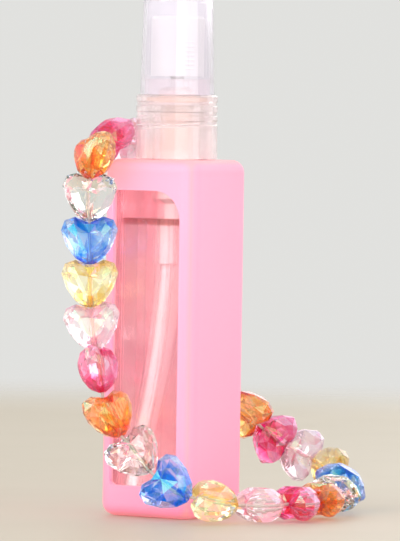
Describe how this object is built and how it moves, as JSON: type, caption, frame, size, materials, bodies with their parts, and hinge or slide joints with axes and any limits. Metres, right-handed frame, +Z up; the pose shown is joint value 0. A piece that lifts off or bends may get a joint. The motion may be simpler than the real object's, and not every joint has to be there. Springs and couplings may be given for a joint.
{
  "type": "perfume bottle",
  "caption": "Square glass travel perfume bottle in a silicone sleeve with a window, screw-on mist pump, clear overcap and a looped strap of faceted heart beads.",
  "frame": {"origin": "centre of the sleeve's base, on the surface it stands on", "axes": "+Z up along the neck's axis; the sleeve's window faces -Y; +X to the right of the window"},
  "size_m": [0.0627, 0.0791, 0.1285],
  "materials": {
    "silicone": "soft matte, translucent",
    "clear_glass": "polished",
    "perfume": "clear pink liquid",
    "collar_plastic": "glossy, translucent",
    "gasket_foam": "matte",
    "pump_plastic": "natural polypropylene",
    "tube_plastic": "translucent polyethylene",
    "steel": "bright",
    "piston_plastic": "satin",
    "actuator_plastic": "satin white",
    "nozzle_plastic": "satin",
    "cap_plastic": "clear, glossy",
    "elastic_cord": "clear elastic",
    "bead_hot_pink": "faceted acrylic",
    "bead_orange": "faceted acrylic",
    "bead_clear": "faceted acrylic, iridescent",
    "bead_blue": "faceted acrylic",
    "bead_yellow": "faceted acrylic",
    "bead_pale_pink": "faceted acrylic"
  },
  "bodies": {
    "bottle": {"silicone_sleeve": "silicone", "glass_bottle": "clear_glass", "perfume_liquid": "perfume", "neck_loop": "elastic_cord", "strap_knot": "elastic_cord", "strap_cord": "elastic_cord", "bead_01": "bead_pale_pink", "bead_02": "bead_hot_pink", "bead_03": "bead_orange", "bead_04": "bead_clear", "bead_05": "bead_blue", "bead_06": "bead_yellow", "bead_07": "bead_pale_pink", "bead_08": "bead_hot_pink", "bead_09": "bead_orange", "bead_10": "bead_clear", "bead_11": "bead_blue", "bead_12": "bead_yellow", "bead_13": "bead_pale_pink", "bead_14": "bead_hot_pink", "bead_15": "bead_orange", "bead_16": "bead_clear", "bead_17": "bead_blue", "bead_18": "bead_yellow", "bead_19": "bead_pale_pink", "bead_20": "bead_hot_pink", "bead_21": "bead_orange", "bead_22": "bead_clear", "bead_23": "bead_blue", "bead_24": "bead_yellow"},
    "pump": {"pump_housing": "pump_plastic", "pump_retainer": "pump_plastic", "neck_gasket": "gasket_foam", "dip_tube": "tube_plastic", "return_spring": "steel"},
    "collar": {"screw_collar": "collar_plastic"},
    "inlet_ball": {"inlet_ball": "steel"},
    "stem": {"pump_stem": "actuator_plastic", "piston": "piston_plastic"},
    "actuator": {"actuator": "actuator_plastic", "nozzle_insert": "nozzle_plastic"},
    "overcap": {"overcap": "cap_plastic"}
  },
  "joints": [
    {"name": "pump_lift", "type": "slide", "parent": "bottle", "child": "pump", "axis": [0, 0, 1], "range_m": [0, 0.00635], "deforming": ["perfume_liquid"]},
    {"name": "collar_turn", "type": "hinge", "parent": "pump", "child": "collar", "pos_m": [0, 0, 0.096], "axis": [0, 0, 1], "range_deg": [0, 720]},
    {"name": "ball_lift", "type": "slide", "parent": "pump", "child": "inlet_ball", "axis": [0, 0, 1], "range_m": [0, 0.0007]},
    {"name": "spray_press", "type": "slide", "parent": "pump", "child": "stem", "axis": [0, 0, -1], "range_m": [0, 0.0042], "stiffness_N_per_m": 2500, "deforming": ["return_spring"]},
    {"name": "actuator_swivel", "type": "hinge", "parent": "stem", "child": "actuator", "pos_m": [0, 0, 0.115], "axis": [0, 0, 1], "continuous": true},
    {"name": "overcap_pull", "type": "slide", "parent": "collar", "child": "overcap", "axis": [0, 0, 1], "range_m": [0, 0.03]}
  ],
  "couplings": [
    {"joint": "collar_turn", "follows": "pump_lift", "rad_per_m": 1979}
  ]
}
